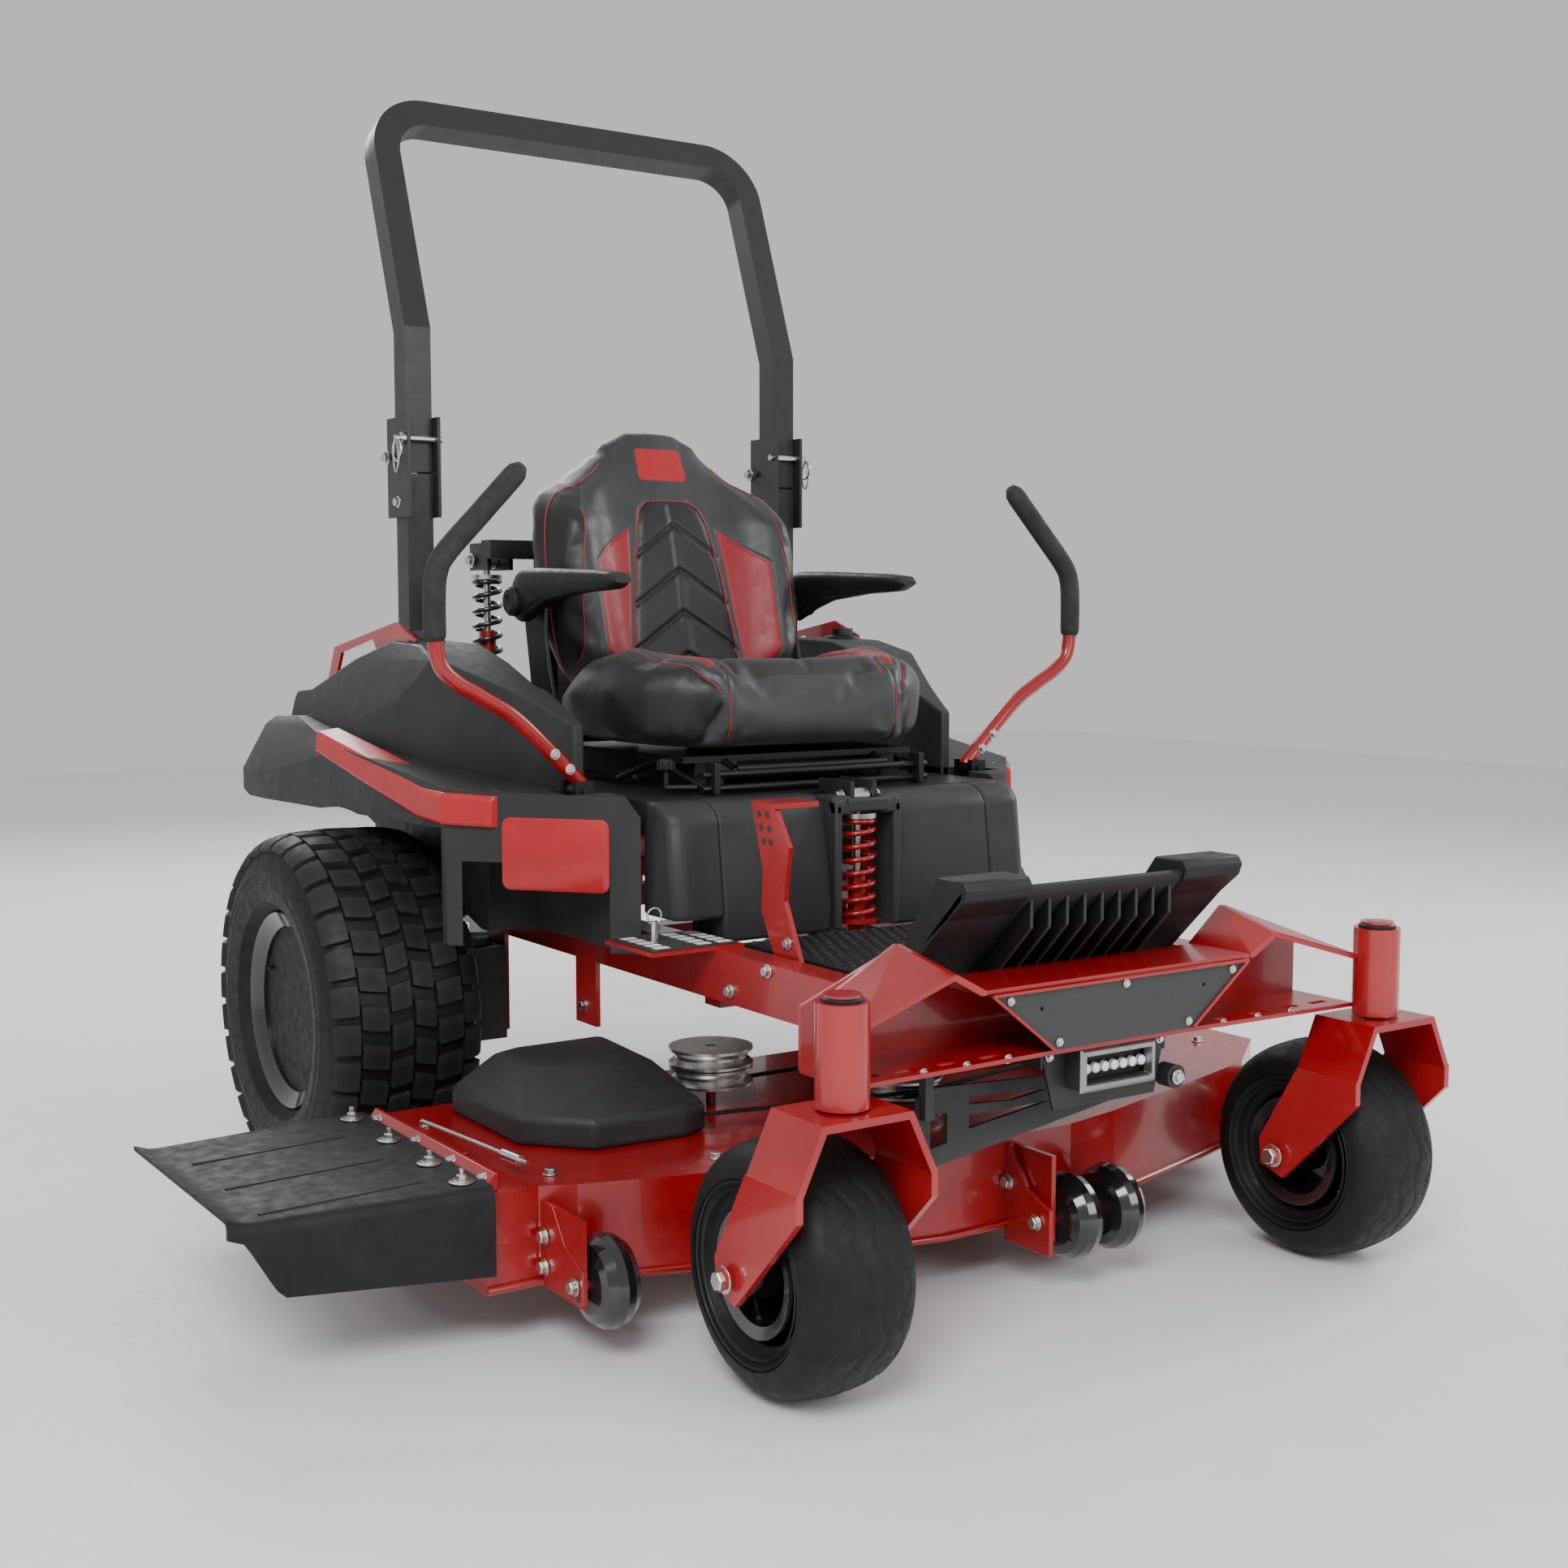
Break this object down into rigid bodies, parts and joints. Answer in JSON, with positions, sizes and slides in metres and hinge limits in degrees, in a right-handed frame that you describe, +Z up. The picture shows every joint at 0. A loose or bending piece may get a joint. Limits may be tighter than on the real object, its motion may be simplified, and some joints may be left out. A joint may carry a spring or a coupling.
{
  "type": "zero turn mower",
  "caption": "Ride-on zero turn mower with suspended seat platform, swing-out drive levers, folding roll bar, trailing casters and a mid-mounted cutting deck with side discharge.",
  "frame": {"origin": "bottom centre of the bounding box, on the ground", "axes": "+Z up, front of the machine towards -Y, +X is the left side of the machine; the discharge side is -X"},
  "size_m": [1.885, 2.108, 1.935],
  "materials": {
    "red_paint": "gloss",
    "black_paint": "satin",
    "grey_plastic": "textured satin",
    "black_plastic": "textured",
    "rubber": "matte",
    "tyre": "matte",
    "upholstery": "grained vinyl",
    "zinc": "bright zinc",
    "casting": "cast",
    "gloss_black": "gloss"
  },
  "bodies": {
    "frame": {"frame_weldment": "red_paint", "front_beam": "red_paint", "front_panel": "grey_plastic", "light_bracket": "black_paint", "light_bar": "black_plastic", "sway_arm": "grey_plastic", "fender_left": "grey_plastic", "fender_right": "grey_plastic", "fuel_tanks": "black_plastic", "engine": "casting", "engine_cover": "black_plastic", "rear_guard": "black_paint", "transaxles": "casting", "rops_posts": "black_paint", "height_gauge": "red_paint", "shock_bodies": "black_paint", "handle_plates": "red_paint"},
    "platform": {"platform_deck": "black_paint", "platform_cover": "grey_plastic", "footrest": "black_plastic", "shock_rods": "zinc", "front_spring": "red_paint", "rear_springs": "black_paint", "seat_rails": "black_paint"},
    "seat": {"seat_base": "black_paint", "seat_cushion": "upholstery", "seat_back": "upholstery"},
    "caster_left": {"caster_fork_left": "red_paint"},
    "caster_wheel_left": {"caster_rim_left": "black_paint", "caster_tyre_left": "tyre"},
    "rear_wheel_left": {"rear_rim_left": "black_paint", "rear_tyre_left": "tyre"},
    "armrest_left": {"armrest_left": "black_plastic"},
    "lever_hub_left": {"lever_hub_left": "black_paint"},
    "lever_left": {"lever_left": "red_paint", "grip_left": "rubber"},
    "rops_pin_left": {"rops_pin_left": "zinc"},
    "caster_right": {"caster_fork_right": "red_paint"},
    "caster_wheel_right": {"caster_rim_right": "black_paint", "caster_tyre_right": "tyre"},
    "rear_wheel_right": {"rear_rim_right": "black_paint", "rear_tyre_right": "tyre"},
    "armrest_right": {"armrest_right": "black_plastic"},
    "lever_hub_right": {"lever_hub_right": "black_paint"},
    "lever_right": {"lever_right": "red_paint", "grip_right": "rubber"},
    "rops_pin_right": {"rops_pin_right": "zinc"},
    "roll_bar": {"rops_hoop": "black_paint"},
    "lift_pedal": {"lift_pedal": "red_paint"},
    "deck": {"deck_shell": "red_paint", "belt_covers": "black_plastic", "deck_belt": "rubber"},
    "deflector": {"deflector": "rubber"},
    "idler": {"idler_pulley": "zinc"},
    "spindle_centre": {"spindle_centre": "black_paint"},
    "spindle_left": {"spindle_left": "black_paint"},
    "spindle_right": {"spindle_right": "black_paint"},
    "gauge_centre": {"gauge_wheels_centre": "gloss_black"},
    "gauge_left": {"gauge_wheel_left": "gloss_black"},
    "gauge_right": {"gauge_wheel_right": "gloss_black"}
  },
  "joints": [
    {"name": "platform_ride", "type": "slide", "parent": "frame", "child": "platform", "axis": [0, 0, 1], "range_m": [-0.021, 0.03], "stiffness_N_per_m": 30000, "springref_m": 0.03, "deforming": ["front_spring", "rear_springs"]},
    {"name": "seat_slide", "type": "slide", "parent": "platform", "child": "seat", "axis": [0, 1, 0], "range_m": [0, 0.045]},
    {"name": "caster_swivel_left", "type": "hinge", "parent": "frame", "child": "caster_left", "pos_m": [0.6465, -0.98, 0.45], "axis": [0, 0, 1], "continuous": true},
    {"name": "caster_roll_left", "type": "hinge", "parent": "caster_left", "child": "caster_wheel_left", "pos_m": [0.6465, -0.889, 0.165], "axis": [1, 0, 0], "continuous": true},
    {"name": "rear_wheel_roll_left", "type": "hinge", "parent": "frame", "child": "rear_wheel_left", "pos_m": [0.7675, 0.33, 0.305], "axis": [1, 0, 0], "continuous": true},
    {"name": "armrest_flip_left", "type": "hinge", "parent": "seat", "child": "armrest_left", "pos_m": [0.4545, 0.258, 1], "axis": [-1, 0, 0], "range_deg": [0, 70]},
    {"name": "drive_left", "type": "hinge", "parent": "frame", "child": "lever_hub_left", "pos_m": [0.5575, -0.137, 0.672], "axis": [1, 0, 0], "range_deg": [-4.5, 12]},
    {"name": "lever_swing_left", "type": "hinge", "parent": "lever_hub_left", "child": "lever_left", "pos_m": [0.5575, -0.137, 0.7], "axis": [0, -1, 0], "range_deg": [0, 40]},
    {"name": "lock_pin_left", "type": "slide", "parent": "frame", "child": "rops_pin_left", "axis": [1, 0, 0], "range_m": [0, 0.05]},
    {"name": "caster_swivel_right", "type": "hinge", "parent": "frame", "child": "caster_right", "pos_m": [-0.3315, -0.98, 0.45], "axis": [0, 0, 1], "continuous": true},
    {"name": "caster_roll_right", "type": "hinge", "parent": "caster_right", "child": "caster_wheel_right", "pos_m": [-0.3315, -0.889, 0.165], "axis": [1, 0, 0], "continuous": true},
    {"name": "rear_wheel_roll_right", "type": "hinge", "parent": "frame", "child": "rear_wheel_right", "pos_m": [-0.4525, 0.33, 0.305], "axis": [1, 0, 0], "continuous": true},
    {"name": "armrest_flip_right", "type": "hinge", "parent": "seat", "child": "armrest_right", "pos_m": [-0.1395, 0.258, 1], "axis": [-1, 0, 0], "range_deg": [0, 70]},
    {"name": "drive_right", "type": "hinge", "parent": "frame", "child": "lever_hub_right", "pos_m": [-0.2425, -0.137, 0.672], "axis": [1, 0, 0], "range_deg": [-4.5, 12]},
    {"name": "lever_swing_right", "type": "hinge", "parent": "lever_hub_right", "child": "lever_right", "pos_m": [-0.2425, -0.137, 0.7], "axis": [0, 1, 0], "range_deg": [0, 40]},
    {"name": "lock_pin_right", "type": "slide", "parent": "frame", "child": "rops_pin_right", "axis": [-1, 0, 0], "range_m": [0, 0.05]},
    {"name": "rops_fold", "type": "hinge", "parent": "frame", "child": "roll_bar", "pos_m": [0.1575, 0.51, 1.262], "axis": [1, 0, 0], "range_deg": [-105, 0]},
    {"name": "lift_pedal_push", "type": "hinge", "parent": "frame", "child": "lift_pedal", "pos_m": [-0.1065, -0.548, 0.441], "axis": [1, 0, 0], "range_deg": [-14.3, 34.3]},
    {"name": "deck_lift", "type": "slide", "parent": "frame", "child": "deck", "axis": [0, 0, 1], "range_m": [-0.0255, 0.0605]},
    {"name": "deflector_flip", "type": "hinge", "parent": "deck", "child": "deflector", "pos_m": [-0.6035, -0.37, 0.228], "axis": [0, 1, 0], "range_deg": [0, 95]},
    {"name": "idler_spin", "type": "hinge", "parent": "deck", "child": "idler", "pos_m": [-0.1055, -0.314, 0.28], "axis": [0, 0, 1], "continuous": true},
    {"name": "spindle_spin_centre", "type": "hinge", "parent": "deck", "child": "spindle_centre", "pos_m": [0.1575, -0.457, 0.2], "axis": [0, 0, 1], "continuous": true},
    {"name": "spindle_spin_left", "type": "hinge", "parent": "deck", "child": "spindle_left", "pos_m": [0.6625, -0.355, 0.2], "axis": [0, 0, 1], "continuous": true},
    {"name": "spindle_spin_right", "type": "hinge", "parent": "deck", "child": "spindle_right", "pos_m": [-0.3475, -0.355, 0.2], "axis": [0, 0, 1], "continuous": true},
    {"name": "gauge_roll_centre", "type": "hinge", "parent": "deck", "child": "gauge_centre", "pos_m": [0.2505, -0.792, 0.105], "axis": [1, 0, 0], "continuous": true},
    {"name": "gauge_roll_left", "type": "hinge", "parent": "deck", "child": "gauge_left", "pos_m": [0.7985, -0.66, 0.105], "axis": [1, 0, 0], "continuous": true},
    {"name": "gauge_roll_right", "type": "hinge", "parent": "deck", "child": "gauge_right", "pos_m": [-0.4835, -0.66, 0.105], "axis": [1, 0, 0], "continuous": true}
  ],
  "couplings": [
    {"joint": "deck_lift", "follows": "lift_pedal_push", "m_per_rad": 0.1},
    {"joint": "spindle_spin_left", "follows": "spindle_spin_centre", "ratio": 1},
    {"joint": "spindle_spin_right", "follows": "spindle_spin_centre", "ratio": 1},
    {"joint": "idler_spin", "follows": "spindle_spin_centre", "ratio": -1.43}
  ]
}
